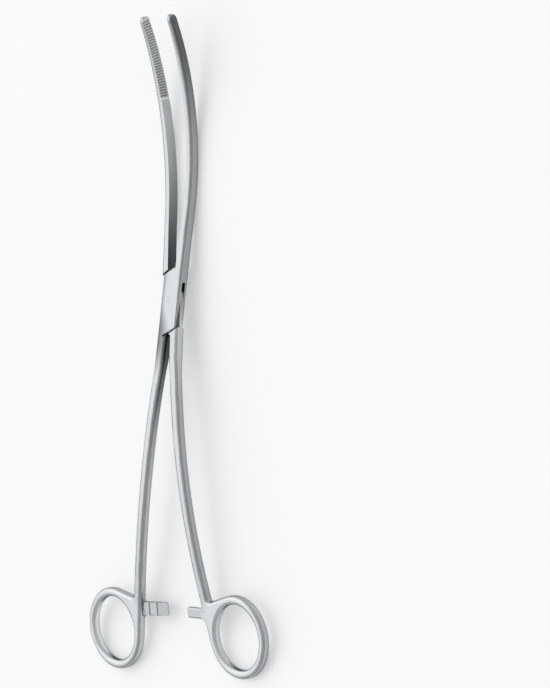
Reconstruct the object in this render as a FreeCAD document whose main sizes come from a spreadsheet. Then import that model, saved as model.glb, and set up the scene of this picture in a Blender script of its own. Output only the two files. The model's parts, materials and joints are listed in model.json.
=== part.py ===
import FreeCAD, Part
import Sketcher
import math
import os

# Sponge holding forceps: two crossing halves held by a box lock. One half is slotted
# through its box, the thinned tongue of the other passes through that slot, and a flush
# rivet joins them. Built in the closed pose, X across, Y along the box towards the jaws,
# Z along the rivet, with the pivot at the origin. At the end the halves are swung apart
# and the whole is laid down on its ring ends and jaw bellies.

V = FreeCAD.Vector
doc = FreeCAD.newDocument("sponge_holding_forceps")
sheet = doc.addObject("Spreadsheet::Sheet", "sizes")

SIZES = [
    ("opening_half_angle", 3.6),      # each half swung out from the closed pose, degrees
    ("box_width", 9.6),
    ("box_thickness", 4.5),
    ("seam_corner", 10.35),           # where the slanted box end meets the box side
    ("seam_angle", 27.9),             # slant of the box ends, degrees
    ("seam_clearance", 0.15),
    ("slot_thickness", 1.6),
    ("slot_end", 7.7),                # slot mouth on the closed side of the box
    ("slot_low_corner", 1.0),         # the slot's slanted end walls, past the box side
    ("slot_low_slope", 1.27),
    ("slot_high_corner", 0.3),
    ("slot_high_slope", 1.9),
    ("tongue_corner", 3.2),           # where the tongue leaves the box side
    ("tongue_clearance", 0.06),       # on each face of the tongue
    ("tongue_step", 0.6),             # the tongue's edges end this far past the shoulders
    ("pin_diameter", 3.0),
    ("pin_clearance", 0.04),          # round the pin in the tongue
    ("jaw_bend_start", 35.8),
    ("jaw_bend_radius", 148.0),
    ("jaw_bend_angle", 30.0),         # degrees of arc up to the tip
    ("jaw_root_gap", 1.35),           # half gaps between the closed jaws
    ("jaw_face_gap", 1.12),
    ("jaw_tip_gap", 0.05),
    ("jaw_tip_width", 2.35),
    ("jaw_tip_height", 4.0),
    ("jaw_taper_start", 38.0),
    ("face_length", 33.0),            # serrated length, along the bend
    ("face_relief", 0.08),
    ("serration_pitch", 1.06),
    ("serration_depth", 0.35),
    ("serration_flank", 50.0),        # half angle of a groove, degrees
    ("serration_count", 30),
    ("box_end_blend", 3.7),           # half the length of the blend from box to shank
    ("shank_turn_start", 21.0),       # where the shanks leave the box line
    ("shank_turn_length", 6.0),
    ("shank_bend_start", 28.4),
    ("shank_bend_radius", 340.0),
    ("shank_thickness", 3.85),        # the rings' too
    ("shank_root_gap", 0.15),
    ("shank_mid_station", 55.0),
    ("shank_mid_offset", 4.95),
    ("shank_mid_width", 4.4),
    ("shank_end_station", 112.0),     # the bend ends here, and the rings lie flat
    ("shank_end_offset", 11.5),
    ("shank_end_width", 3.75),
    ("ring_offset", 27.0),            # ring centre from the middle, closed
    ("ring_station", 130.0),
    ("ring_half_width", 13.4),        # to the middle of the ring's bar
    ("ring_half_length", 14.6),
    ("ring_bar_width", 3.5),
    ("ring_run_in", 352.0),           # where the shank's inner edge joins the ring, degrees
    ("web_start", 78.0),              # where the ring's edge runs straight on to the shank
    ("crotch_radius", 1.2),
    ("ratchet_station", 119.8),
    ("ratchet_tilt", 5.0),            # the bars lean towards the box, degrees
    ("ratchet_lower_reach", 3.3),     # past the middle, closed
    ("ratchet_upper_reach", -1.95),
    ("ratchet_lower_height", 5.5),
    ("ratchet_upper_height", 4.3),
    ("ratchet_flare_high", 1.5),
    ("ratchet_flare_low", 2.6),
    ("ratchet_corner", 0.9),
    ("ratchet_sink", 0.5),            # root of the flare inside the shank's edge
    ("ratchet_back_step", 0.1),       # the bar's back lies this far below the ring's face
    ("ratchet_edge_round", 0.7),
    ("tooth_pitch", 4.6),
    ("tooth_depth", 0.85),
    ("tooth_crest", 0.2),             # crest above the ring's middle plane
    ("tooth_root_run", 1.4),          # from the ramp's end to the next tooth
    ("tooth_root_slope", 0.5),        # the part of it that slopes
    ("edge_round_shank", 1.5),
    ("edge_round_box", 0.5),
    ("edge_round_back", 1.4),         # backs of the jaws
]
for row, (alias, value) in enumerate(SIZES, start=1):
    sheet.set("A%d" % row, alias)
    sheet.set("B%d" % row, str(value))
    sheet.setAlias("B%d" % row, alias)
doc.recompute()

# Depths of construction solids that reach past everything they meet, and a small distance
# that keeps a limit off the corner it stands beside
REACH_UP = "30 mm"
REACH_ACROSS = "45 mm"
MARGIN = 1.0
FLAT = FreeCAD.Placement()
SIDE = FreeCAD.Placement(V(0, 0, 0), FreeCAD.Rotation(V(1, 1, 1), 120))
FORTH = V(0, 1, 0)
BACK = V(0, -1, 0)
UP = V(0, 0, 1)


def size(alias):
    return float(sheet.get(alias))


# Geometry helpers
def unit(vector):
    return vector * (1 / vector.Length)


def tangent_arc(start, direction, end):
    """Arc that leaves start along direction and reaches end."""
    side = unit(V(-direction.y, direction.x, 0))
    chord = end.sub(start)
    radius = chord.Length ** 2 / (2 * chord.dot(side))
    centre = start + side * radius
    middle = unit((start + end) * 0.5 - centre)
    return Part.ArcOfCircle(start, centre + middle * abs(radius), end)


def quarter_arc(start, centre, end):
    middle = unit((start + end) * 0.5 - centre)
    return Part.ArcOfCircle(start, centre + middle * start.distanceToPoint(centre), end)


def root_of(function, low, high):
    """Place between low and high where the function changes sign."""
    rising = function(low) < 0
    for _ in range(40):
        middle = (low + high) / 2
        if (function(middle) < 0) == rising:
            low = middle
        else:
            high = middle
    return (low + high) / 2


def sketch_at(name, placement, curves):
    sketch = doc.addObject("Sketcher::SketchObject", name)
    sketch.Placement = placement
    for curve in curves:
        sketch.addConstraint(Sketcher.Constraint("Block", sketch.addGeometry(curve, False)))
    return sketch


def polygon(name, placement, points):
    following = points[1:] + points[:1]
    return sketch_at(name, placement, [Part.LineSegment(*pair) for pair in zip(points, following)])


def extrude(name, base, depth):
    """Solid that stands the same depth on both sides of its sketch."""
    solid = doc.addObject("Part::Extrusion", name)
    solid.Base = base
    solid.DirMode = "Normal"
    solid.Solid = True
    solid.setExpression("LengthFwd", depth)
    solid.setExpression("LengthRev", depth)
    return solid


def combine(kind, name, *parts):
    solid = doc.addObject(kind, name)
    if kind == "Part::Cut":
        solid.Base, solid.Tool = parts
    else:
        solid.Shapes = list(parts)
    solid.Refine = True
    doc.recompute()
    return solid


def mirrored(name, source):
    image = doc.addObject("Part::Mirroring", name)
    image.Source = source
    image.Normal = V(1, 0, 0)
    doc.recompute()
    return image


# The bent spine: seen from the side it runs level through the box, then bends up to the
# jaw tips and down to the rings, both as plain arcs, and ends straight along the rings
jaw_start = size("jaw_bend_start")
jaw_radius = size("jaw_bend_radius")
jaw_angle = math.radians(size("jaw_bend_angle"))
shank_start = size("shank_bend_start")
shank_radius = size("shank_bend_radius")
flat_y = -size("shank_end_station")


def spine(y):
    """Height of the spine over the station y, and its slope angle there."""
    if y > jaw_start:
        turn = math.asin((y - jaw_start) / jaw_radius)
        return jaw_radius * (1 - math.cos(turn)), turn
    if y < -shank_start:
        bent_y = max(y, flat_y)
        turn = math.asin((-shank_start - bent_y) / shank_radius)
        return (y - bent_y) * math.tan(turn) - shank_radius * (1 - math.cos(turn)), turn
    return 0.0, 0.0


tip_y = jaw_start + jaw_radius * math.sin(jaw_angle)
ring_y = -size("ring_station")
ring_z, ring_turn = spine(ring_y)
half_box = size("box_thickness") / 2
half_shank = size("shank_thickness") / 2
half_tip = size("jaw_tip_height") / 2
half_width = size("box_width") / 2
seam_slope = math.tan(math.radians(size("seam_angle")))
seam_y = size("seam_corner")


# Side strip: drawn with its own x along the spine and y up
def face_line(side):
    """Curves of the strip's upper (1) or lower (-1) face, and its ends at ring and tip."""
    lift = V(-math.sin(ring_turn), math.cos(ring_turn), 0) * (side * half_shank)
    ring_end_y = ring_y - size("ring_half_length") - size("ring_bar_width")
    ring_end = V(ring_end_y, spine(ring_end_y)[0], 0) + lift
    flat = V(flat_y, spine(flat_y)[0], 0) + lift
    blend = size("box_end_blend")
    shank = V(-shank_start, side * half_shank, 0)
    middle = V(-shank_start + blend, side * (half_box + half_shank) / 2, 0)
    box = V(-shank_start + 2 * blend, side * half_box, 0)
    jaw = V(jaw_start, side * half_box, 0)
    tip = tip_middle + V(-math.sin(tip_turn), math.cos(tip_turn), 0) * (side * half_tip)
    curves = [
        Part.LineSegment(ring_end, flat),
        tangent_arc(shank, V(-1, 0, 0), flat),
        tangent_arc(shank, V(1, 0, 0), middle),
        tangent_arc(box, V(-1, 0, 0), middle),
        Part.LineSegment(box, jaw),
        tangent_arc(jaw, V(1, 0, 0), tip),
    ]
    return curves, ring_end, tip


tip_turn = jaw_angle - half_tip / jaw_radius
tip_middle = V(jaw_start + jaw_radius * math.sin(tip_turn), jaw_radius * (1 - math.cos(tip_turn)), 0)
nose = tip_middle + V(math.cos(tip_turn), math.sin(tip_turn), 0) * half_tip
upper_curves, upper_ring_end, upper_tip = face_line(1)
lower_curves, lower_ring_end, lower_tip = face_line(-1)
side_profile = sketch_at("side_profile", SIDE, upper_curves + lower_curves + [
    Part.ArcOfCircle(upper_tip, nose, lower_tip),
    Part.LineSegment(lower_ring_end, upper_ring_end),
])
strip = extrude("bent_strip", side_profile, REACH_ACROSS)

# Plan of the box and jaw, for the half whose ring is on the left and whose jaw is on the right
OVERLAP = 4.0       # length of flat that the box plan and the shank plan share
TIP_OVERRUN = 3.0   # the plan runs past the tip, where the side strip ends it
box_end_y = MARGIN - size("shank_turn_start")
face_turn = jaw_angle - size("face_length") / jaw_radius
face_start = V(size("jaw_face_gap"), jaw_start + jaw_radius * math.sin(face_turn), 0)
face_end = V(size("jaw_tip_gap"), tip_y, 0)
face_run = unit(face_end.sub(face_start))


def box_and_jaw_plan():
    gap = size("shank_root_gap")
    crotch = V(size("jaw_root_gap"), seam_y + seam_slope * (half_width + size("jaw_root_gap")), 0)
    seam_high = V(-half_width, seam_y, 0)
    seam_low = V(-gap, -seam_y - seam_slope * (half_width + gap), 0)
    low_side = V(half_width, -seam_y, 0)
    cut_left = V(-half_width, box_end_y, 0)
    cut_right = V(-gap, box_end_y, 0)
    # the back of the jaw narrows along one arc
    back_start = V(half_width, size("jaw_taper_start"), 0)
    reach = tip_y - back_start.y
    narrowing = half_width - size("jaw_tip_width")
    back_radius = (reach ** 2 + narrowing ** 2) / (2 * narrowing)
    overrun = reach + TIP_OVERRUN
    back_end = back_start + V(math.sqrt(back_radius ** 2 - overrun ** 2) - back_radius, overrun, 0)
    tip = face_end + face_run * TIP_OVERRUN
    return sketch_at("box_and_jaw_plan", FLAT, [
        Part.LineSegment(cut_left, seam_high),
        Part.LineSegment(seam_high, crotch),
        tangent_arc(face_start, face_run * -1, crotch),
        Part.LineSegment(face_start, tip),
        Part.LineSegment(tip, back_end),
        tangent_arc(back_start, FORTH, back_end),
        Part.LineSegment(back_start, low_side),
        Part.LineSegment(low_side, seam_low),
        Part.LineSegment(seam_low, cut_right),
        Part.LineSegment(cut_right, cut_left),
    ])


# Plan of the shank and ring, drawn on the ring's own sloping plane with its origin where
# the spine passes the ring centre
RING_PLANE = FreeCAD.Placement(V(0, ring_y, ring_z), FreeCAD.Rotation(V(1, 0, 0), math.degrees(ring_turn)))


def on_ring_plane(x, y):
    height = spine(y)[0] - ring_z
    return V(x, (y - ring_y) * math.cos(ring_turn) + height * math.sin(ring_turn), 0)


class Oval:
    """Four-arc oval at a distance from the middle line of the ring's bar.

    Places on it go by the angle of its outward normal, in degrees."""

    def __init__(self, distance):
        narrow, wide = size("ring_half_width"), size("ring_half_length")
        slant = math.sqrt(0.5)
        shift = (wide - narrow) / (2 * slant - 1) * slant
        middle = V(-size("ring_offset"), 0, 0)
        side, end = narrow + shift + distance, wide - shift + distance
        self.parts = [
            (middle - V(shift, 0, 0), side),
            (middle + V(0, shift, 0), end),
            (middle + V(shift, 0, 0), side),
            (middle - V(0, shift, 0), end),
        ]

    def point(self, angle):
        centre, radius = self.parts[round(angle / 90) % 4]
        return centre + normal_at(angle) * radius

    def arcs(self, start, end):
        stops = [start] + [stop for stop in (45, 135, 225, 315) if start < stop < end] + [end]
        return [
            Part.ArcOfCircle(self.point(first), self.point((first + last) / 2), self.point(last))
            for first, last in zip(stops, stops[1:])
        ]


def normal_at(angle):
    return V(math.cos(math.radians(angle)), math.sin(math.radians(angle)), 0)


def tangent_at(angle):
    return normal_at(angle + 90)


class ShankEdge:
    """Long edge of the shank: level at the box, a short turn, then a straight run."""

    def __init__(self, side, start_x):
        turn_length = size("shank_turn_length")
        self.start = on_ring_plane(start_x, box_end_y + OVERLAP)
        self.level = on_ring_plane(start_x, -size("shank_turn_start"))
        self.mid = self.place("mid", side)
        self.end = self.place("end", side)
        corner = self.level - V(0, turn_length / 2, 0)
        self.run = unit(self.mid - corner)
        self.turned = corner + self.run * (turn_length / 2)

    def place(self, name, side):
        across = -size("shank_%s_offset" % name) + side * size("shank_%s_width" % name) / 2
        return on_ring_plane(across, -size("shank_%s_station" % name))

    def curves(self):
        return [
            Part.LineSegment(self.start, self.level),
            tangent_arc(self.level, BACK, self.turned),
            Part.LineSegment(self.turned, self.mid),
        ]


def smooth_run_in(edge, ring):
    """Curve that carries the shank's inner edge on into the ring."""
    angle = size("ring_run_in")
    end = ring.point(angle)
    handle = edge.mid.distanceToPoint(end) / 3
    curve = Part.BezierCurve()
    curve.setPoles([edge.mid, edge.mid + edge.run * handle, end + tangent_at(angle) * handle, end])
    return curve


def web_and_crotch(bow, ring):
    """Straight edge from the ring towards the shank, and the small arc in their corner."""
    radius = size("crotch_radius")
    angle = size("web_start")
    start = ring.point(angle)

    def touch(distance):
        return start - tangent_at(angle) * distance

    def centre(distance):
        return touch(distance) + normal_at(angle) * radius

    distance = root_of(
        lambda at: centre(at).distanceToPoint(bow.Center) - (bow.Radius - radius),
        0.0, outer_edge.end.x - start.x)
    middle = centre(distance)
    on_shank = bow.Center + unit(middle.sub(bow.Center)) * bow.Radius
    web = Part.LineSegment(start, touch(distance))
    return web, quarter_arc(on_shank, middle, touch(distance)), on_shank


outer_edge = ShankEdge(-1, -half_width)
inner_edge = ShankEdge(1, -size("shank_root_gap"))
ring_outside = Oval(size("ring_bar_width") / 2)
ring_hole = Oval(-size("ring_bar_width") / 2)
inner_run = smooth_run_in(inner_edge, ring_outside)


def shank_and_ring_plan():
    bow = tangent_arc(outer_edge.mid, outer_edge.run, outer_edge.end)
    web, crotch, on_shank = web_and_crotch(bow, ring_outside)
    curves = outer_edge.curves() + inner_edge.curves() + [
        tangent_arc(outer_edge.mid, outer_edge.run, on_shank),
        crotch,
        web,
        inner_run.toBSpline(),
        Part.LineSegment(inner_edge.start, outer_edge.start),
    ]
    curves += ring_outside.arcs(size("web_start"), size("ring_run_in"))
    curves += ring_hole.arcs(45, 405)
    return sketch_at("shank_and_ring_plan", RING_PLANE, curves)


# Each plan is extruded through the side strip, and the two common solids are one blank half
box_block = extrude("box_and_jaw_block", box_and_jaw_plan(), REACH_UP)
ring_block = extrude("shank_and_ring_block", shank_and_ring_plan(), REACH_UP)
box_part = combine("Part::MultiCommon", "box_and_jaw", box_block, strip)
ring_part = combine("Part::MultiCommon", "shank_and_ring", ring_block, strip)
blank = combine("Part::MultiFuse", "half_blank", box_part, ring_part)


# Rounded long edges: slight on the box, full on the shank and on the back of the jaw
def edge_radius(x, y):
    shank_round, box_round = size("edge_round_shank"), size("edge_round_box")
    between_face_and_back = (size("jaw_root_gap") + size("jaw_tip_width")) / 2
    if x > between_face_and_back and y > -seam_y - MARGIN:
        share = min(1.0, max(0.0, (y + seam_y) / (jaw_start + seam_y)))
        return box_round + share * (size("edge_round_back") - box_round)
    if y > seam_y + MARGIN:
        return 0.0      # the mating face keeps its edges
    if y < -seam_y - MARGIN or x > -half_width + MARGIN:
        return shank_round
    return box_round


def long_edges(shape):
    """Number and two radii of every edge along the top and bottom faces."""
    chosen = []
    for number, edge in enumerate(shape.Edges, start=1):
        middle = edge.valueAt((edge.FirstParameter + edge.LastParameter) / 2)
        height, turn = spine(middle.y)
        first, last = edge.Vertexes[0].Point, edge.Vertexes[-1].Point
        offset = (middle.z - height) * math.cos(turn)
        on_face = abs(offset) > 0.8 * half_shank or middle.y > tip_y - half_tip
        across = abs(first.x - last.x) > abs(first.y - last.y) and len(edge.Vertexes) == 2
        if not on_face or (across and edge.Curve.TypeId == "Part::GeomLine"):
            continue
        radii = [edge_radius(first.x, first.y), edge_radius(last.x, last.y)]
        if min(radii) == 0:
            continue
        if radii[0] != radii[1] and offset < 0 and middle.x > 0:
            radii.reverse()  # the back's rounding runs up over the tip and returns below
        chosen.append((radii[0] == radii[1], offset < 0, number, radii[0], radii[1]))
    return [(number, first, last) for even, low, number, first, last in sorted(chosen)]


rounded = doc.addObject("Part::Fillet", "half_rounded")
rounded.Base = blank
rounded.Edges = long_edges(blank.Shape)
doc.recompute()


# Ratchet bars: a plan with a flared root, cut to a saw profile drawn across the forceps
def shank_inner_x(y):
    """How far across the shank's inner edge lies, on the ring's plane."""
    return inner_run.value(root_of(lambda share: y - inner_run.value(share).y, 0.0, 1.0)).x


ratchet_y = on_ring_plane(0, -size("ratchet_station")).y
SAW_PLANE = RING_PLANE.multiply(
    FreeCAD.Placement(V(0, ratchet_y, 0), FreeCAD.Rotation(V(1, 0, 0), 90)))
ROOT_DEPTH = 1.5    # the bars run on this far inside the shank


def ratchet_plan(name, reach, height):
    """Plan of a bar, and how far across its root goes, inside and at the shank."""
    corner, half = size("ratchet_corner"), height / 2
    turn = FreeCAD.Rotation(UP, size("ratchet_tilt"))
    forward = turn.multVec(V(1, 0, 0))

    def on_bar(along, across):
        return V(0, ratchet_y, 0) + turn.multVec(V(along, across, 0))

    def flare(side, length):
        """Root of the flare at the shank, and where it meets the straight edge."""
        y = on_bar(shank_inner_x(ratchet_y), side * half).y + side * length
        root = V(shank_inner_x(y) - size("ratchet_sink"), y, 0)
        return root, on_bar(root.x + length, side * half)

    root_high, flared_high = flare(1, size("ratchet_flare_high"))
    root_low, flared_low = flare(-1, size("ratchet_flare_low"))
    inside = root_low.x - ROOT_DEPTH
    nose_high, end_high = on_bar(reach - corner, half), on_bar(reach, half - corner)
    nose_low, end_low = on_bar(reach - corner, -half), on_bar(reach, corner - half)
    plan = sketch_at(name, RING_PLANE, [
        tangent_arc(flared_high, forward * -1, root_high),
        Part.LineSegment(flared_high, nose_high),
        quarter_arc(nose_high, on_bar(reach - corner, half - corner), end_high),
        Part.LineSegment(end_high, end_low),
        quarter_arc(end_low, on_bar(reach - corner, corner - half), nose_low),
        Part.LineSegment(nose_low, flared_low),
        tangent_arc(flared_low, forward * -1, root_low),
        Part.LineSegment(root_low, V(inside, root_low.y, 0)),
        Part.LineSegment(V(inside, root_low.y, 0), V(inside, root_high.y, 0)),
        Part.LineSegment(V(inside, root_high.y, 0), root_high),
    ])
    return plan, inside, max(root_high.x, root_low.x)


def outline_edges(shape, across):
    """Edges round the two faces of a bar, past a distance across."""
    to_plane = RING_PLANE.inverse()
    found = []
    for number, edge in enumerate(shape.Edges, start=1):
        ends = [to_plane.multVec(vertex.Point) for vertex in edge.Vertexes]
        level = abs(ends[0].z - ends[-1].z) < 1e-3
        if level and sum(end.x for end in ends) / len(ends) > across:
            found.append(number)
    return found


def ratchet(name, reach, height, teeth_up):
    """Bar with rounded edges. Its teeth ramp down towards its own end, with a clear root
    before the next tooth, whose steep side is the one that holds."""
    plan, inside, at_shank = ratchet_plan(name + "_plan", reach, height)
    side = 1 if teeth_up else -1
    back = -side * (half_shank - size("ratchet_back_step"))
    crest = side * size("tooth_crest")
    valley = crest - side * size("tooth_depth")
    root_x = inside - MARGIN
    end_x = reach + MARGIN
    slab = polygon(name + "_slab", SAW_PLANE, [
        V(root_x, back, 0), V(end_x, back, 0), V(end_x, crest, 0), V(root_x, crest, 0)])
    plan_block = extrude(name + "_plan_block", plan, REACH_UP)
    slab_block = extrude(name + "_slab_block", slab, REACH_UP)
    bar = combine("Part::MultiCommon", name + "_bar", plan_block, slab_block)
    edge_round = size("ratchet_edge_round")
    smooth = doc.addObject("Part::Fillet", name + "_rounded")
    smooth.Base = bar
    smooth.Edges = [(number, edge_round, edge_round) for number in outline_edges(bar.Shape, at_shank)]
    doc.recompute()
    points = [V(root_x, back, 0), V(end_x, back, 0), V(end_x, valley, 0), V(reach, valley, 0)]
    step_x = reach - size("tooth_pitch")
    while step_x > root_x:
        ramp_end = step_x - size("tooth_root_run")
        points += [
            V(step_x, crest, 0),
            V(step_x, valley, 0),
            V(ramp_end + size("tooth_root_slope"), valley, 0),
            V(ramp_end, -crest, 0),
        ]
        step_x -= size("tooth_pitch")
    points.append(V(root_x, crest, 0))
    saw = polygon(name + "_saw", SAW_PLANE, points)
    return combine("Part::MultiCommon", name, smooth, extrude(name + "_saw_block", saw, REACH_UP))


lower_ratchet = ratchet(
    "lower_ratchet", size("ratchet_lower_reach"), size("ratchet_lower_height"), teeth_up=True)
upper_ratchet = ratchet(
    "upper_ratchet", size("ratchet_upper_reach"), size("ratchet_upper_height"), teeth_up=False)
box_blank = combine("Part::MultiFuse", "box_half_blank", rounded, lower_ratchet)
other_blank = combine("Part::MultiFuse", "other_half_blank", rounded, upper_ratchet)
tongue_blank = mirrored("tongue_half_blank", other_blank)

# Box slot: it runs through the box from side to side, and its end walls stand clear of the
# tongue, whose slanted ends turn inside it
slot_end = size("slot_end")
slot_low = V(size("slot_low_corner"),
             -slot_end - size("slot_low_slope") * (half_width + size("slot_low_corner")), 0)
slot_high = V(size("slot_high_corner"),
              slot_end + size("slot_high_slope") * (half_width - size("slot_high_corner")), 0)
wide = 2 * half_width
slot_plan = polygon("slot_plan", FLAT, [
    V(-wide, -slot_end, 0),
    V(-half_width, -slot_end, 0),
    slot_low,
    V(wide, slot_low.y, 0),
    V(wide, slot_end, 0),
    V(half_width, slot_end, 0),
    slot_high,
    V(-wide, slot_high.y, 0),
])
slot = extrude("slot", slot_plan, "sizes.slot_thickness / 2")


# Tongue: the other half is thinned between its slanted shoulders by two cheeks, and its
# corners that would show beside the box are cut off
def shoulder(x, side):
    """Place at x on the upper (1) or lower (-1) shoulder of the tongue half."""
    rise = size("seam_clearance") / math.cos(math.radians(size("seam_angle")))
    return V(x, side * (seam_y + seam_slope * (half_width + side * x) + rise), 0)


cheek_plan = polygon("cheek_plan", FLAT, [
    shoulder(-wide, 1),
    shoulder(-wide, -1),
    shoulder(wide, -1),
    shoulder(wide, 1),
])
cheek_block = extrude("cheek_block", cheek_plan, REACH_UP)
tongue_slab = extrude("tongue_slab", cheek_plan, "sizes.slot_thickness / 2 - sizes.tongue_clearance")
cheeks = combine("Part::Cut", "cheeks", cheek_block, tongue_slab)


def tongue_corner_cut(name, side, gap):
    """Region beside the tongue, above (1) or below (-1) the middle of the box."""
    past_box = 1.75 * seam_y
    edge_end = shoulder(-side * gap, side) + V(0, size("tongue_step"), 0)
    plan = polygon(name + "_plan", FLAT, [
        V(side * half_width, side * size("tongue_corner"), 0),
        V(side * wide, side * size("tongue_corner"), 0),
        V(side * wide, side * past_box, 0),
        V(-side * gap, side * past_box, 0),
        edge_end,
    ])
    return extrude(name, plan, REACH_UP)


high_cut = tongue_corner_cut("tongue_high_cut", 1, size("jaw_root_gap"))
low_cut = tongue_corner_cut("tongue_low_cut", -1, size("shank_root_gap"))


# Rivet and its bores, turned on the pivot axis
def turned(name, radius, length):
    body = doc.addObject("PartDesign::Body", name)
    plane = [item for item in body.Origin.OriginFeatures if item.Role == "XY_Plane"][0]
    sketch = body.newObject("Sketcher::SketchObject", name + "_circle")
    sketch.AttachmentSupport = [(plane, "")]
    sketch.MapMode = "FlatFace"
    first_radius = size("pin_diameter") / 2
    sketch.addGeometry(Part.Circle(V(0, 0, 0), UP, first_radius), False)
    sketch.addConstraint(Sketcher.Constraint("Coincident", 0, 3, -1, 1))
    bound = sketch.addConstraint(Sketcher.Constraint("Radius", 0, first_radius))
    sketch.setExpression("Constraints[%d]" % bound, radius)
    pad = body.newObject("PartDesign::Pad", name + "_pad")
    pad.Profile = sketch
    pad.Midplane = True
    pad.setExpression("Length", length)
    body.Tip = pad
    doc.recompute()
    return body


lock_pin = turned("lock_pin", "sizes.pin_diameter / 2", "sizes.box_thickness")
box_bore = turned("box_bore", "sizes.pin_diameter / 2", "sizes.box_thickness * 2")
tongue_bore = turned(
    "tongue_bore", "sizes.pin_diameter / 2 + sizes.pin_clearance", "sizes.box_thickness * 2")

# Serrations: one comb cuts a jaw's whole mating face. A thin plate skims the face flat, and
# a row of ridges is copied round the jaw's bend so that each groove stands square to it.
face_tilt = math.degrees(math.atan2(-face_run.x, face_run.y))
groove_step = math.degrees(size("serration_pitch") / jaw_radius)
first_turn = math.degrees(jaw_angle) - 1.1 * groove_step
comb_inside = jaw_radius - size("jaw_tip_height")
comb_outside = jaw_radius + size("jaw_tip_height")


def add_sketch(body, name, plane):
    sketch = body.newObject("Sketcher::SketchObject", name)
    sketch.AttachmentSupport = [(plane, "")]
    sketch.MapMode = "FlatFace"
    return sketch


def add_plate(body, plane):
    """Plate along the bend, from past the tip to the end of the serrated stretch."""
    tip_end = math.radians(-90 + 2.5 * groove_step)
    root_end = math.radians(-90 - first_turn) + face_turn

    def arc(radius):
        points = [V(radius * math.cos(turn), radius * math.sin(turn), 0)
                  for turn in (root_end, (root_end + tip_end) / 2, tip_end)]
        return Part.ArcOfCircle(*points), points[0], points[-1]

    inner, inner_root, inner_tip = arc(comb_inside)
    outer, outer_root, outer_tip = arc(comb_outside)
    sketch = add_sketch(body, "comb_plate_outline", plane)
    ends = [Part.LineSegment(inner_root, outer_root), Part.LineSegment(inner_tip, outer_tip)]
    for curve in [inner, outer] + ends:
        sketch.addConstraint(Sketcher.Constraint("Block", sketch.addGeometry(curve, False)))
    plate = body.newObject("PartDesign::Pad", "comb_plate")
    plate.Profile = sketch
    plate.SideType = "Two sides"
    plate.setExpression("Length", "sizes.face_relief")
    plate.setExpression("Length2", "sizes.jaw_root_gap")


def add_ridge(body, plane):
    """Three-cornered ridge standing on the plate, one groove deep."""
    depth = size("face_relief") + size("serration_depth")
    half_groove = depth * math.tan(math.radians(size("serration_flank")))
    corners = [V(0, -half_groove, 0), V(depth, 0, 0), V(0, half_groove, 0)]
    sketch = add_sketch(body, "comb_ridge_outline", plane)
    sketch.AttachmentOffset = FreeCAD.Placement(V(0, 0, MARGIN / 2 - comb_outside), FreeCAD.Rotation())
    for start, end in ((0, 1), (1, 2), (2, 0)):
        sketch.addGeometry(Part.LineSegment(corners[start], corners[end]), False)
    for start, end in ((0, 1), (1, 2), (2, 0)):
        sketch.addConstraint(Sketcher.Constraint("Coincident", start, 2, end, 1))
    sketch.addConstraint(Sketcher.Constraint("PointOnObject", 0, 2, -1))
    sketch.addConstraint(Sketcher.Constraint("PointOnObject", 0, 1, -2))
    sketch.addConstraint(Sketcher.Constraint("Equal", 0, 1))
    sketch.addConstraint(Sketcher.Constraint("Vertical", 2))
    deep = sketch.addConstraint(Sketcher.Constraint("DistanceX", -1, 1, 0, 2, depth))
    broad = sketch.addConstraint(Sketcher.Constraint("DistanceY", 0, 1, 1, 2, 2 * half_groove))
    groove_depth = "(sizes.face_relief + sizes.serration_depth)"
    sketch.setExpression("Constraints[%d]" % deep, groove_depth)
    sketch.setExpression(
        "Constraints[%d]" % broad, "2 * %s * tan(sizes.serration_flank * 1 deg)" % groove_depth)
    ridge = body.newObject("PartDesign::Pad", "comb_ridge")
    ridge.Profile = sketch
    ridge.Length = comb_outside - comb_inside - MARGIN
    return ridge


comb = doc.addObject("PartDesign::Body", "serration_comb")
comb_origin = {item.Role: item for item in comb.Origin.OriginFeatures}
add_plate(comb, comb_origin["YZ_Plane"])
ridges = comb.newObject("PartDesign::PolarPattern", "comb_ridges")
ridges.Originals = [add_ridge(comb, comb_origin["XY_Plane"])]
ridges.Axis = (comb_origin["X_Axis"], [""])
ridges.Reversed = True
ridges.setExpression("Occurrences", "sizes.serration_count")
ridges.Angle = groove_step * (size("serration_count") - 1)
comb.Tip = ridges
doc.recompute()
comb_x = face_start.x + (face_start.y - jaw_start) * math.tan(math.radians(face_tilt))
comb.Placement = FreeCAD.Placement(
    V(comb_x, jaw_start, jaw_radius),
    FreeCAD.Rotation(UP, face_tilt).multiply(FreeCAD.Rotation(V(1, 0, 0), first_turn)))
doc.recompute()
other_comb = mirrored("other_serration_comb", comb)


# Finished pieces
def cut_away(name, base, tools):
    """Cuts the tools off one after the other; the last result carries the piece's name."""
    for step, tool in enumerate(tools, start=1):
        last = step == len(tools)
        before = base.Shape.Volume
        base = combine("Part::Cut", name if last else "%s_cut_%d" % (name, step), base, tool)
        if base.Shape.Volume > before - 0.1:
            raise RuntimeError("%s: cut %d took nothing off" % (name, step))
    return base


box_half = cut_away("box_half", box_blank, [slot, box_bore, comb])
tongue_half = cut_away("tongue_half", tongue_blank, [cheeks, high_cut, low_cut, tongue_bore, other_comb])

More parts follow.
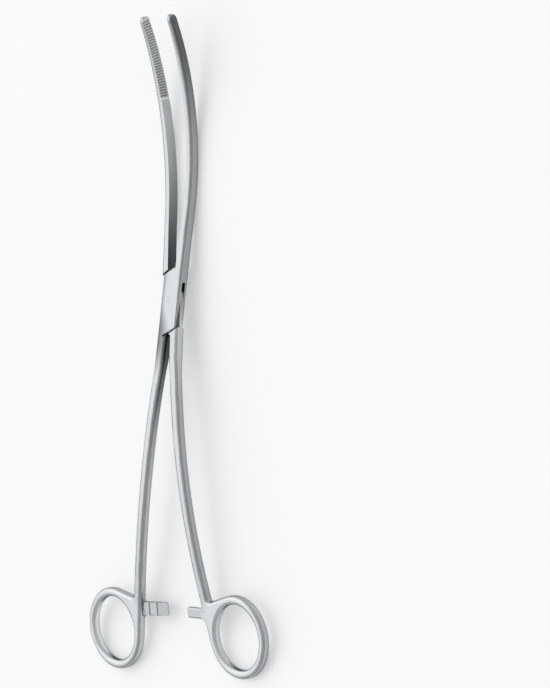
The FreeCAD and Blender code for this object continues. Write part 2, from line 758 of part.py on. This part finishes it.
# Pose and resting place: the halves swing apart about the pivot, then the whole leans until
# the jaws' bellies and the ring ends lie at one height
swing = size("opening_half_angle")
turned_right = FreeCAD.Placement(V(0, 0, 0), FreeCAD.Rotation(UP, -swing))
turned_left = FreeCAD.Placement(V(0, 0, 0), FreeCAD.Rotation(UP, swing))
pieces = {
    "box_half": (box_half, turned_right),
    "tongue_half": (tongue_half, turned_left),
    "lock_pin": (lock_pin, turned_right),
}
MESH_TOLERANCE = 0.05
cloud = [
    swung.multVec(point)
    for piece, swung in pieces.values()
    for point in piece.Shape.tessellate(MESH_TOLERANCE)[0]
]
underside = [point for point in cloud if point.z < spine(point.y)[0]]
jaw_underside = [point for point in underside if point.y > 0]
ring_underside = [point for point in underside if point.y < ring_y / 2]


def leaned(point, angle):
    turn = math.radians(angle)
    return point.z * math.cos(turn) - point.y * math.sin(turn)


def belly_above_rings(angle):
    return min(leaned(p, angle) for p in jaw_underside) - min(leaned(p, angle) for p in ring_underside)


lean = root_of(belly_above_rings, 0.0, 15.0)
laid = FreeCAD.Placement(V(0, 0, 0), FreeCAD.Rotation(V(1, 0, 0), -lean))
bounds = FreeCAD.BoundBox()
for point in cloud:
    bounds.add(laid.multVec(point))
shift = V(-bounds.Center.x, -bounds.Center.y, -bounds.ZMin)
rest = FreeCAD.Placement(shift, FreeCAD.Rotation()).multiply(laid)
for name, (piece, swung) in pieces.items():
    piece.Label = name
    piece.Placement = rest.multiply(swung)

for item in doc.Objects:
    if "Invalid" in item.State or "Error" in item.State:
        raise RuntimeError("failed: " + item.Name)
os.makedirs("parts", exist_ok=True)
for name, (piece, swung) in pieces.items():
    shape = piece.Shape
    if shape.isNull() or not shape.isValid() or len(shape.Solids) != 1:
        raise RuntimeError("bad shape: " + name)
    shape.exportStep("parts/%s.step" % name)
    print(name, "volume %.1f mm3" % shape.Volume, "faces", len(shape.Faces))

print("pivot", [round(value, 4) for value in rest.multVec(V(0, 0, 0))])
print("pivot axis", [round(value, 6) for value in rest.Rotation.multVec(UP)])
print("leaning back by %.3f degrees" % lean)
print("size %.2f x %.2f x %.2f mm" % (bounds.XLength, bounds.YLength, bounds.ZLength))
past_bend = (flat_y - ring_y) / math.cos(ring_turn) + size("ring_half_length") + size("ring_bar_width") / 2
along_bend = jaw_start + shank_start + jaw_radius * jaw_angle + shank_radius * ring_turn + past_bend
print("length along the bend %.1f mm" % along_bend)
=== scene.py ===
# %% [markdown]
# Sponge holding forceps
#
# Long forceps of satin steel: two crossing halves, a box lock with a flush rivet, finger
# rings with ratchet bars at one end and slender serrated jaws at the other. The solids come
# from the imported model, so this lesson is about what a steel tool needs to look real: the
# camera, a floor, large soft lights to reflect, and a finish with a grain. Sizes are metres.

# %% Load the model
import json
import math

import bpy
from mathutils import Matrix, Vector

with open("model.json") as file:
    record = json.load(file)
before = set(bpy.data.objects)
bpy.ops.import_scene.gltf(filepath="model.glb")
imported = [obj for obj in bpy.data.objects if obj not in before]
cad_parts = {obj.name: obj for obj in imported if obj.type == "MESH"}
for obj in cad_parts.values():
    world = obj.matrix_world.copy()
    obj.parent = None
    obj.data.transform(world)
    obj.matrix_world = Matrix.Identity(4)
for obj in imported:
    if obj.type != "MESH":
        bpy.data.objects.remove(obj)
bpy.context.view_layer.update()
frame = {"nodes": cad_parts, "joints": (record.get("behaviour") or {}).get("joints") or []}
MM = 0.001

# %% [markdown]
# The camera
#
# The forceps lie flat, and the picture was taken from their right at about half height, so
# that the bend shows. The view is easiest to give round the rivet: the hinge's own axis and
# the length of the tool are two directions of a small frame, the camera is turned about the
# length, tilted a little, and stands far off with a long lens, which keeps the lines straight.

# %% Place the camera
VIEW_TURN = math.radians(45.9)     # about the length of the forceps, towards the right
VIEW_TILT = math.radians(5.8)
VIEW_DISTANCE = 1.5
VIEW_END = 20.0                    # past the far edge of the floor
VIEW_ASIDE = 39.64 * MM            # the forceps stand left of the middle of the picture
VIEW_LOWER = 16.48 * MM
PICTURE_LONG_SIDE = 688
FOCAL_PIXELS = 3850
SENSOR = 36.0

hinge = frame["joints"][0]
pivot = Vector(hinge["pos_m"])
hinge_axis = Vector(hinge["axis"]).normalized()
across = Vector((1, 0, 0))
along = hinge_axis.cross(across)
tool = Matrix((across, along, hinge_axis)).transposed()

right = tool @ Vector((math.cos(VIEW_TURN), math.sin(VIEW_TURN) * math.sin(VIEW_TILT),
                       -math.sin(VIEW_TURN) * math.cos(VIEW_TILT)))
up = tool @ Vector((0, math.cos(VIEW_TILT), math.sin(VIEW_TILT)))
back = right.cross(up)
place = pivot + right * VIEW_ASIDE - up * VIEW_LOWER + back * VIEW_DISTANCE

camera_data = bpy.data.cameras.new("camera")
camera_data.sensor_width = SENSOR
camera_data.lens = SENSOR * FOCAL_PIXELS / PICTURE_LONG_SIDE
camera_data.clip_end = VIEW_END
camera = bpy.data.objects.new("camera", camera_data)
camera.matrix_world = Matrix.Translation(place) @ Matrix((right, up, back)).transposed().to_4x4()
bpy.context.scene.collection.objects.link(camera)
bpy.context.scene.camera = camera
print("camera", [round(value, 3) for value in place], "lens", round(camera_data.lens, 1))

# %% [markdown]
# Node helpers
#
# A finish and a sky are small graphs of nodes. A short helper keeps the cells readable: it
# adds a node with its settings, feeds sockets with values or with other sockets, and gives
# the sums and soft fades that all the finishes below are made of.


# %% Node helpers
class Graph:
    """Shader nodes of one material or of the sky."""

    def __init__(self, tree):
        self.tree = tree

    def add(self, kind, sockets=(), **settings):
        node = self.tree.nodes.new("ShaderNode" + kind)
        for key, value in settings.items():
            setattr(node, key, value)
        for key, value in dict(sockets).items():
            node.inputs[key].default_value = value
        return node

    def join(self, source, target):
        self.tree.links.new(source, target)

    def feed(self, node, values):
        """Give a node its first inputs, each a socket or a plain value."""
        for value, target in zip(values, node.inputs):
            if isinstance(value, bpy.types.NodeSocket):
                self.join(value, target)
            else:
                target.default_value = value

    def math(self, operation, first, second=0.0):
        node = self.add("Math", operation=operation)
        self.feed(node, (first, second))
        return node.outputs["Value"]

    def vector(self, operation, *values):
        """Result of a sum on places or directions: a number for a dot product or a length."""
        node = self.add("VectorMath", operation=operation)
        self.feed(node, values)
        return node.outputs["Value" if operation in ("DOT_PRODUCT", "LENGTH") else "Vector"]

    def axes(self, place):
        node = self.add("SeparateXYZ")
        self.join(place, node.inputs["Vector"])
        return node.outputs["X"], node.outputs["Y"], node.outputs["Z"]

    def fade(self, value, low, high, start, end):
        """Smooth change from start to end as the value goes from low to high."""
        limits = {"From Min": low, "From Max": high, "To Min": start, "To Max": end}
        node = self.add("MapRange", limits, interpolation_type="SMOOTHSTEP")
        self.join(value, node.inputs["Value"])
        return node.outputs["Result"]


def new_material(name):
    """A material, its graph and its surface shader."""
    material = bpy.data.materials.new(name)
    material.use_nodes = True
    return material, Graph(material.node_tree), material.node_tree.nodes["Principled BSDF"]


# %% [markdown]
# The floor
#
# A pale, matt sheet that is large enough to fill the picture and to show in the steel. A
# little light of its own lifts it towards white for the eye, in reflections and through
# glass, and adds nothing to the light that falls on matt faces.

# %% Lay the floor
FLOOR_HALF = 6.0
FLOOR_GREY = 0.64
FLOOR_LIFT = 0.33                  # light of its own, where 1 is white
FLOOR_ROUGHNESS = 0.9
FLOOR_SPECULAR = 0.1

floor_mesh = bpy.data.meshes.new("floor")
corners = [(-FLOOR_HALF, -FLOOR_HALF, 0), (FLOOR_HALF, -FLOOR_HALF, 0),
           (FLOOR_HALF, FLOOR_HALF, 0), (-FLOOR_HALF, FLOOR_HALF, 0)]
floor_mesh.from_pydata(corners, [], [(0, 1, 2, 3)])
floor = bpy.data.objects.new("floor", floor_mesh)
bpy.context.scene.collection.objects.link(floor)
paper, graph, surface = new_material("pale_floor")
surface.inputs["Base Color"].default_value = (FLOOR_GREY, FLOOR_GREY, FLOOR_GREY, 1)
surface.inputs["Roughness"].default_value = FLOOR_ROUGHNESS
surface.inputs["Specular IOR Level"].default_value = FLOOR_SPECULAR
surface.inputs["Emission Color"].default_value = (1, 1, 1, 1)
seen_by = graph.add("LightPath").outputs
eye_or_mirror = graph.math("MAXIMUM", seen_by["Is Camera Ray"], seen_by["Is Glossy Ray"])
seen = graph.math("MAXIMUM", eye_or_mirror, seen_by["Is Transmission Ray"])
graph.join(graph.math("MULTIPLY", seen, FLOOR_LIFT), surface.inputs["Emission Strength"])
floor_mesh.materials.append(paper)
print("floor", 2 * FLOOR_HALF, "m square, grey", FLOOR_GREY, "lifted by", FLOOR_LIFT)

# %% [markdown]
# The light
#
# Steel shows what stands round it. The sky is a studio tent, bright on the far left and
# fading towards the near right, so that the sides which face right or down the tool fall off
# to grey. In it hangs one big soft box with feathered edges, up on the left where the top
# faces mirror it towards the camera. A lamp in the same place gives the shadow its direction.

# %% Hang the lights
TENT_BRIGHT = 0.75
TENT_DARK = 0.5
TENT_TOWARDS = Vector((-0.75, 0.50, 0.43)).normalized()
TENT_SPREAD = 0.85                 # cosine to the tent's direction where its fade ends
SOFT_BOX = 0.98
SOFT_BOX_TOWARDS = Vector((-0.68, 0.22, 0.70)).normalized()
SOFT_BOX_EDGE = math.cos(math.radians(52))
SOFT_BOX_FULL = math.cos(math.radians(20))
KEY_RADIANCE = 0.2
KEY_SIDE = 1.8
KEY_DISTANCE = 2.0

world = bpy.data.worlds.new("studio")
world.use_nodes = True
bpy.context.scene.world = world
sky = Graph(world.node_tree)
looking = sky.add("TexCoord").outputs["Generated"]
towards_tent = sky.vector("DOT_PRODUCT", looking, TENT_TOWARDS)
towards_box = sky.vector("DOT_PRODUCT", looking, SOFT_BOX_TOWARDS)
tent = sky.fade(towards_tent, -TENT_SPREAD, TENT_SPREAD, TENT_DARK, TENT_BRIGHT)
soft_box = sky.fade(towards_box, SOFT_BOX_EDGE, SOFT_BOX_FULL, 0.0, SOFT_BOX)
background = world.node_tree.nodes["Background"]
background.inputs["Color"].default_value = (1, 1, 1, 1)
sky.join(sky.math("ADD", tent, soft_box), background.inputs["Strength"])

key_data = bpy.data.lights.new("key_panel", "AREA")
key_data.shape = "SQUARE"
key_data.size = KEY_SIDE
key_data.energy = KEY_RADIANCE * 4 * KEY_SIDE ** 2    # a panel's radiance is power / (4 * area)
key_panel = bpy.data.objects.new("key_panel", key_data)
facing = SOFT_BOX_TOWARDS.to_track_quat("Z", "Y").to_matrix().to_4x4()
key_panel.matrix_world = Matrix.Translation(pivot + SOFT_BOX_TOWARDS * KEY_DISTANCE) @ facing
bpy.context.scene.collection.objects.link(key_panel)
bpy.context.scene.view_settings.view_transform = "Standard"
print("tent", TENT_DARK, "to", TENT_BRIGHT, "and a soft box of", SOFT_BOX, "on top")
print("key panel", round(key_data.energy, 2), "W")

# %% [markdown]
# The way of the grain
#
# The halves are forged, ground along their length on fine belts and brushed matt, so the
# steel carries fine streaks along the tool. Round a finger ring the belt follows the bar,
# so there the grain is laid out by distance from the ring's middle and by angle round it.
# The two layouts fade into each other where the ring meets its shank.

# %% Lay out the grain
RING_HALF_WIDTH = 15.15 * MM
RING_HALF_LENGTH = 16.35 * MM
RING_REACH = 17.5 * MM             # the ring's grain and its painted light and shade reach this far from its middle
RING_FADE = 3 * MM


def ring_middle(piece):
    """Middle of the finger ring of one half: the ring is its near and its outer end."""
    places = [vertex.co for vertex in piece.data.vertices]
    nearest = min(place.y for place in places)
    outermost = max((place.x for place in places), key=abs)
    inwards = -math.copysign(RING_HALF_WIDTH, outermost)
    return Vector((outermost + inwards, nearest + RING_HALF_LENGTH, 0))


def on_ring(graph, distance):
    """1 on the ring, 0 on the rest of the half."""
    return graph.fade(distance, RING_REACH, RING_REACH + RING_FADE, 1.0, 0.0)


def grain_coordinates(graph, place, middle):
    """Place across, along and through the grain, in metres."""
    if middle is None:
        return place
    x, y, z = graph.axes(graph.vector("SUBTRACT", place, middle))
    squares = graph.math("ADD", graph.math("MULTIPLY", x, x), graph.math("MULTIPLY", y, y))
    distance = graph.math("SQRT", squares)
    round_ring = graph.add("CombineXYZ")
    turned = graph.math("MULTIPLY", graph.math("ARCTAN2", y, x), RING_HALF_WIDTH)
    graph.feed(round_ring, (distance, turned, z))
    choice = graph.add("Mix", data_type="VECTOR")
    graph.join(on_ring(graph, distance), choice.inputs["Factor"])
    graph.join(place, choice.inputs["A"])
    graph.join(round_ring.outputs["Vector"], choice.inputs["B"])
    return choice.outputs["Result"]


# %% [markdown]
# Painted light and shade on the sides
#
# The faces between the halves get painted shade next to the lock, which fades out to
# painted light towards the tips and the rings. The outer sides of the shanks get painted
# light near the lock, and the round backs of the jaws get painted shade towards the tips.
# Where the serrated land ends, a painted highlight draws a small bright step. All of this
# goes by which way a face looks and how far it is from the rivet.

# %% Shade the sides
CROSSING = 1 * MM                  # soft change from jaw side to shank side at the rivet
LOCK_HALF_LENGTH = 11.5 * MM
# Inner faces: painted shade next to the lock that fades to painted light further along
INNER_SHADE_END = 72 * MM
INNER_PAINTED_SHADE = -0.78                  # changes of tone: -1 is black and 0 is the plain steel
INNER_PAINTED_LIGHT = 0.25
# Painted light on the outer sides of the shanks, strongest next to the lock
SHANK_ROOT_PAINTED_LIGHT = 0.5
SHANK_PAINTED_LIGHT = 0.05
SHANK_LIGHT_END = 45 * MM
# Painted shade on the round backs of the jaws, darker towards the tips
BACK_START = 55 * MM
BACK_END = 102 * MM
BACK_PAINTED_SHADE = -0.67
LAND_SLOPE = math.radians(11.5)    # climb of the jaw at the end of the serrated land
LAND_END = 95.6 * MM               # along that climb
# Painted highlight across the inner face where the serrated land ends
LAND_HIGHLIGHT = 0.95
LAND_LINE = (0.1 * MM, 0.35 * MM)  # from its middle, where the line is full and where it ends
INNER_FACING = (0.55, 0.9)         # how far a face has to look sideways
OUTER_FACING = (-0.3, -0.95)


def towards_tips(graph, along_half, shank, jaw):
    """One value on the shank's side of the rivet and another on the jaw's side."""
    return graph.fade(along_half, -CROSSING, CROSSING, shank, jaw)


def side_change(graph, place, normal, hand):
    """Painted light and shade on the sides; hand is 1 where +X looks at the other half's jaw."""
    from_lock = graph.math("SUBTRACT", graph.axes(place)[1], pivot.y)
    distance = graph.math("ABSOLUTE", from_lock)
    inward_x = towards_tips(graph, from_lock, -hand, hand)
    inwards = graph.math("MULTIPLY", graph.axes(normal)[0], inward_x)

    inner = graph.fade(inwards, *INNER_FACING, 0.0, 1.0)
    past_lock = graph.fade(distance, LOCK_HALF_LENGTH, LOCK_HALF_LENGTH + CROSSING, 0.0, 1.0)
    # Painted shade on the inner faces next to the lock, fading to painted light further along
    inner_shade = graph.fade(distance, LOCK_HALF_LENGTH, INNER_SHADE_END, INNER_PAINTED_SHADE, INNER_PAINTED_LIGHT)
    # A painted highlight line where the serrated land ends
    climb = (0, math.cos(LAND_SLOPE), math.sin(LAND_SLOPE))
    beyond = graph.math("SUBTRACT", graph.vector("DOT_PRODUCT", place, climb), LAND_END)
    land_highlight = graph.fade(graph.math("ABSOLUTE", beyond), *LAND_LINE, LAND_HIGHLIGHT, 0.0)
    inner_change = graph.math("MULTIPLY", graph.math("MULTIPLY", inner, past_lock),
                              graph.math("ADD", inner_shade, land_highlight))

    outer = graph.fade(inwards, *OUTER_FACING, 0.0, 1.0)
    # Painted shade on the round backs of the jaws, darker towards the tips
    back = graph.fade(from_lock, BACK_START, BACK_END, 0.0, BACK_PAINTED_SHADE)
    # Painted light on the outer sides of the shanks, strongest next to the lock
    shank_painted_light = graph.fade(from_lock, -SHANK_LIGHT_END, -LOCK_HALF_LENGTH,
                        SHANK_PAINTED_LIGHT, SHANK_ROOT_PAINTED_LIGHT)
    on_shank = graph.fade(from_lock, -LOCK_HALF_LENGTH, 0.0, 1.0, 0.0)
    shank = graph.math("MULTIPLY", shank_painted_light, on_shank)
    outer_change = graph.math("MULTIPLY", outer, graph.math("ADD", back, shank))
    return graph.math("ADD", inner_change, outer_change)


# %% [markdown]
# The top of the lock
#
# The slanted seams are the lines that tell a box lock, and painted shade beside them draws
# them darker and wider than the gap alone. The left flank of the box and the neck of its
# shank get a band of painted shade, darker than the flat of the box. Each half is measured
# in the directions it had while the lock was closed.

# %% Shade the lock
OPENING_HALF_ANGLE = math.radians(3.6)
SEAM_SLOPE = math.tan(math.radians(27.9))
SEAM_REACH = 12.89 * MM            # from the rivet along the box to both seams
SEAM_END = 1.35 * MM               # a seam stops this far past the middle of the box
SEAM_END_FADE = 0.3 * SEAM_END
SEAM_LINE = (0.1 * MM, 0.6 * MM)   # from the seam, where the line is full and where it ends
# Painted shade along both seams
SEAM_PAINTED_SHADE = -0.75
BOX_HALF_WIDTH = 4.8 * MM
# Painted shade on the left flank of the box and on the neck of its shank
FLANK_WIDTH = 3 * MM
FLANK_PAINTED_SHADE = -0.5
NECK_PLACE = -13 * MM              # the dull band grows down to here
NECK_MORE = 5 * MM                 # and is this much wider there
NECK_PAINTED_SHADE = -0.25
NECK_END = (-32 * MM, -16 * MM)    # it fades out between these
TOP_FACING = (0.5, 0.9)            # how far a face has to look up along the rivet


def neck_painted_shade(graph, x, y):
    """Band of painted shade on the left flank of the box and on the neck of its shank."""
    low = graph.fade(y, NECK_PLACE, 0.0, 1.0, 0.0)
    width = graph.math("ADD", graph.math("MULTIPLY", low, NECK_MORE), FLANK_WIDTH)
    from_edge = graph.math("DIVIDE", graph.math("ADD", x, BOX_HALF_WIDTH), width)
    depth = graph.math("ADD", graph.math("MULTIPLY", low, NECK_PAINTED_SHADE), FLANK_PAINTED_SHADE)
    band = graph.math("MULTIPLY", graph.fade(from_edge, 0.0, 1.0, 1.0, 0.0), depth)
    return graph.math("MULTIPLY", band, graph.fade(y, *NECK_END, 0.0, 1.0))


def lock_change(graph, place, normal, hand):
    """Painted shade on top of the lock; hand is -1 for the half with the box."""
    turn = -hand * OPENING_HALF_ANGLE
    from_rivet = graph.vector("SUBTRACT", place, pivot)
    own_across = across * math.cos(turn) - along * math.sin(turn)
    own_along = across * math.sin(turn) + along * math.cos(turn)
    x = graph.vector("DOT_PRODUCT", from_rivet, own_across)
    y = graph.vector("DOT_PRODUCT", from_rivet, own_along)
    skewed = graph.math("SUBTRACT", y, graph.math("MULTIPLY", x, SEAM_SLOPE))
    from_seam = graph.math("SUBTRACT", graph.math("ABSOLUTE", skewed), SEAM_REACH)
    # Painted shade along both seams draws them darker and wider than the gap
    seam_shade = graph.fade(graph.math("ABSOLUTE", from_seam), *SEAM_LINE, SEAM_PAINTED_SHADE, 0.0)
    along_seam = graph.math("MULTIPLY", x, towards_tips(graph, y, -1.0, 1.0))
    on_seam = graph.fade(along_seam, SEAM_END, SEAM_END + SEAM_END_FADE, 1.0, 0.0)
    change = graph.math("MULTIPLY", seam_shade, on_seam)
    # The box half also gets the band of painted shade on its flank and neck
    if hand < 0:
        change = graph.math("ADD", change, neck_painted_shade(graph, x, y))
    upwards = graph.vector("DOT_PRODUCT", normal, hinge_axis)
    return graph.math("MULTIPLY", change, graph.fade(upwards, *TOP_FACING, 0.0, 1.0))


# %% [markdown]
# Painted light on the rings
#
# The rings get painted light, most of all on the long inner walls. The two short ends inside
# a ring get painted shade.

# %% Shade the rings
# Painted light on the rings and their long inner walls, painted shade on the short ends
RING_PAINTED_LIGHT = 0.18
RING_WALL_PAINTED_LIGHT = 0.4
RING_END_PAINTED_SHADE = -0.95
WALL_REACH = (-9.5 * MM, -4 * MM)  # distance from the middle, counted along the face's normal
END_FACING = (0.7, 0.98)           # how far a wall has to look along the tool to be an end


def ring_change(graph, place, normal, middle):
    """Painted light and shade on the finger ring, against 0 on the rest of the half."""
    from_middle = graph.vector("SUBTRACT", place, middle)
    level = graph.vector("MULTIPLY", from_middle, (1, 1, 0))
    outwards = graph.vector("DOT_PRODUCT", level, normal)
    inside = graph.fade(outwards, *WALL_REACH, 1.0, 0.0)
    endwise = graph.math("ABSOLUTE", graph.axes(normal)[1])
    wall = graph.fade(endwise, *END_FACING, RING_WALL_PAINTED_LIGHT, RING_END_PAINTED_SHADE)
    # Painted light on the ring and its long inner walls, painted shade on its two short inner
    # ends
    change = graph.math("ADD", graph.math("MULTIPLY", inside, wall), RING_PAINTED_LIGHT)
    return graph.math("MULTIPLY", on_ring(graph, graph.vector("LENGTH", level)), change)


# %% [markdown]
# Satin steel
#
# A metal with a soft sheen. The streaks change its tone, its roughness and, by a few
# thousandths of a millimetre, its height. The flats are never quite flat, so a slow wave of
# a few hundredths bends what they mirror. The tone is slightly cool, as stainless steel is.

# %% Satin steel
STREAKS = (1600, 60, 1600)         # per metre: across, along and through the grain
WAVES = (420, 26, 420)
STREAK_DETAIL = 4
WAVE_DETAIL = 1
STREAK_DEPTH = 0.003 * MM
STREAK_STRENGTH = 0.5
WAVE_DEPTH = 0.07 * MM
STREAK_RANGE = (0.3, 0.7)          # the part of the noise that the streaks use
STREAK_DARK = (0.88, 0.91, 0.93)   # times the grey
STREAK_LIGHT = (1.03, 1.06, 1.05)
SMOOTHER = 0.05                    # less and more roughness along the streaks
ROUGHER = 0.07
EDGE_MIRROR = 0.55                 # how much the steel mirrors where it is seen edge-on


def grain(graph, coordinates, density, detail):
    """Noise drawn out along the grain."""
    noise = graph.add("TexNoise", {"Scale": 1.0, "Detail": detail})
    graph.join(graph.vector("MULTIPLY", coordinates, density), noise.inputs["Vector"])
    return noise.outputs["Fac"]


def streaky_tone(graph, streaks, grey):
    """Colour of the steel from its dark to its light streaks."""
    tone = graph.add("ValToRGB")
    ends = zip(tone.color_ramp.elements, STREAK_RANGE, (STREAK_DARK, STREAK_LIGHT))
    for element, position, colour in ends:
        element.position = position
        element.color = [grey * part for part in colour] + [1]
    graph.join(streaks, tone.inputs["Fac"])
    return tone.outputs["Color"]


def uneven_surface(graph, streaks, waves):
    """Normal of a ground flat: slow waves with fine streaks on them."""
    wavy = graph.add("Bump", {"Strength": 1.0, "Distance": WAVE_DEPTH})
    graph.join(waves, wavy.inputs["Height"])
    brushed = graph.add("Bump", {"Strength": STREAK_STRENGTH, "Distance": STREAK_DEPTH})
    graph.join(streaks, brushed.inputs["Height"])
    graph.join(wavy.outputs["Normal"], brushed.inputs["Normal"])
    return brushed.outputs["Normal"]


def with_painted_light_and_shade(graph, tone, place, normal, middle, hand):
    """The tone of a half, with its painted light and shade."""
    # Painted light and shade from the sides, the lock and the ring
    changes = (side_change(graph, place, normal, hand), lock_change(graph, place, normal, hand),
               ring_change(graph, place, normal, middle))
    share = 1.0
    for change in changes:
        share = graph.math("MULTIPLY", graph.math("ADD", change, 1.0), share)
    shaded = graph.add("VectorMath", operation="SCALE")
    graph.join(tone, shaded.inputs[0])
    graph.join(share, shaded.inputs["Scale"])
    return shaded.outputs["Vector"]


def steel(name, grey, roughness, middle=None, hand=0):
    """Steel of the rivet, or of a half with the given ring middle and hand."""
    material, graph, surface = new_material(name)
    own = graph.add("TexCoord").outputs
    place, normal = own["Object"], own["Normal"]
    coordinates = grain_coordinates(graph, place, middle)
    streaks = grain(graph, coordinates, STREAKS, STREAK_DETAIL)
    waves = grain(graph, coordinates, WAVES, WAVE_DETAIL)
    tone = streaky_tone(graph, streaks, grey)
    if middle is not None:
        tone = with_painted_light_and_shade(graph, tone, place, normal, middle, hand)
    graph.join(tone, surface.inputs["Base Color"])
    uneven = graph.fade(streaks, *STREAK_RANGE, roughness - SMOOTHER, roughness + ROUGHER)
    graph.join(uneven, surface.inputs["Roughness"])
    graph.join(uneven_surface(graph, streaks, waves), surface.inputs["Normal"])
    surface.inputs["Metallic"].default_value = 1.0
    surface.inputs["Specular Tint"].default_value = (EDGE_MIRROR, EDGE_MIRROR, EDGE_MIRROR, 1)
    return material


# %% [markdown]
# The pieces and their steel
#
# Both halves are the same steel, but the grain and the painted light and shade lie
# differently, so each has a material of its own. The rivet is ground flush with the box and
# a touch duller.

# %% Give each piece its steel
HALF_GREY = 0.4
HALF_ROUGHNESS = 0.26
RIVET_GREY = 0.39
RIVET_ROUGHNESS = 0.3
HANDS = {"box_half": -1, "tongue_half": 1}


def dress(piece, material):
    """Put one material on a piece, in place of what it came with."""
    piece.data.materials.clear()
    piece.data.materials.append(material)
    print(piece.name, "wears", material.name, "with", len(material.node_tree.nodes), "nodes")


for name, hand in HANDS.items():
    half = frame["nodes"][name]
    middle = ring_middle(half)
    print(name, "ring middle", [round(value, 4) for value in middle])
    dress(half, steel("satin_steel_" + name, HALF_GREY, HALF_ROUGHNESS, middle, hand))
dress(frame["nodes"]["lock_pin"], steel("rivet_steel", RIVET_GREY, RIVET_ROUGHNESS))
